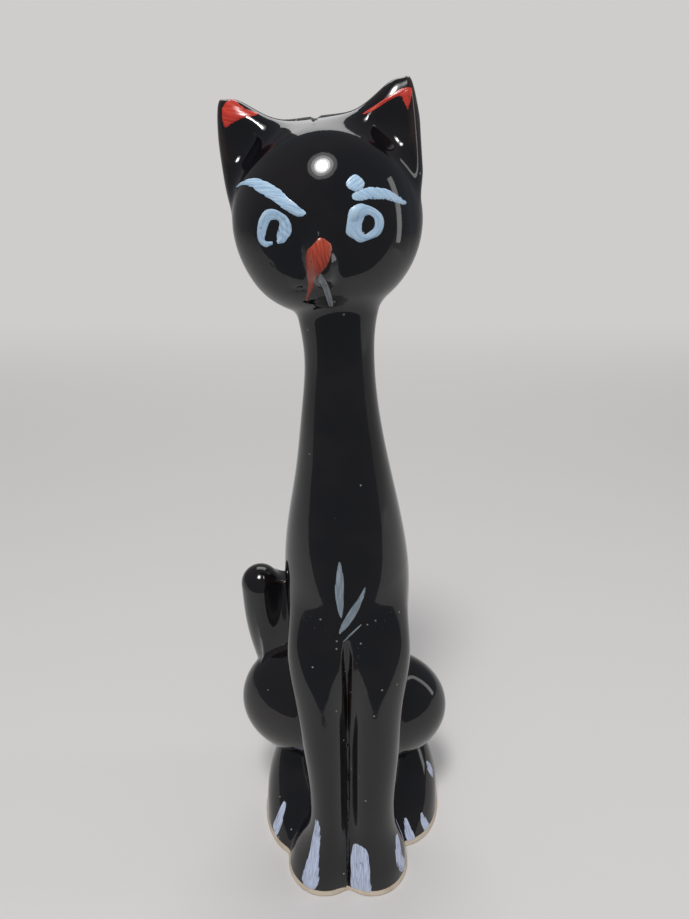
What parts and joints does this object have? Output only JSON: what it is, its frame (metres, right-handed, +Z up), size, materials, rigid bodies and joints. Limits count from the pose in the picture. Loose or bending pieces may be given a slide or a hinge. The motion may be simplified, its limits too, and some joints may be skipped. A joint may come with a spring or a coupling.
{
  "type": "ceramic cat figurine",
  "caption": "Tall seated long-necked cat in black glazed ceramic with brushed pale and red enamel marks, hollow cast, on a bare clay foot.",
  "frame": {"origin": "on the table plane under the chest, at the middle of the foot's underside area", "axes": "+Z up, the cat faces -Y, the cat's left side is at +X"},
  "size_m": [0.0737, 0.0665, 0.2502],
  "materials": {
    "black_glaze": "deep glossy black glaze over fired clay, with faint waviness, pinholes and dust",
    "bare_clay": "unglazed cream clay, matt and slightly rough",
    "pale_enamel": "thin pale blue-white brushed enamel, semi-gloss, streaked",
    "red_enamel": "thin orange-red brushed enamel, semi-gloss"
  },
  "bodies": {
    "root": {"body_casting": "black_glaze", "head_casting": "black_glaze", "left_ear": "black_glaze", "right_ear": "black_glaze", "left_foreleg": "black_glaze", "right_foreleg": "black_glaze", "left_haunch": "black_glaze", "right_haunch": "black_glaze", "left_hind_paw": "black_glaze", "right_hind_paw": "black_glaze", "tail": "black_glaze", "foot": "bare_clay", "left_brow_stroke": "pale_enamel", "right_brow_stroke": "pale_enamel", "left_eye_ring": "pale_enamel", "right_eye_ring": "pale_enamel", "forehead_dab": "pale_enamel", "mouth_stroke": "pale_enamel", "chest_strokes": "pale_enamel", "left_foreleg_toe_strokes": "pale_enamel", "right_foreleg_toe_strokes": "pale_enamel", "left_hind_toe_strokes": "pale_enamel", "right_hind_toe_strokes": "pale_enamel", "nose_patch": "red_enamel", "left_ear_enamel": "red_enamel", "right_ear_enamel": "red_enamel"}
  },
  "joints": []
}
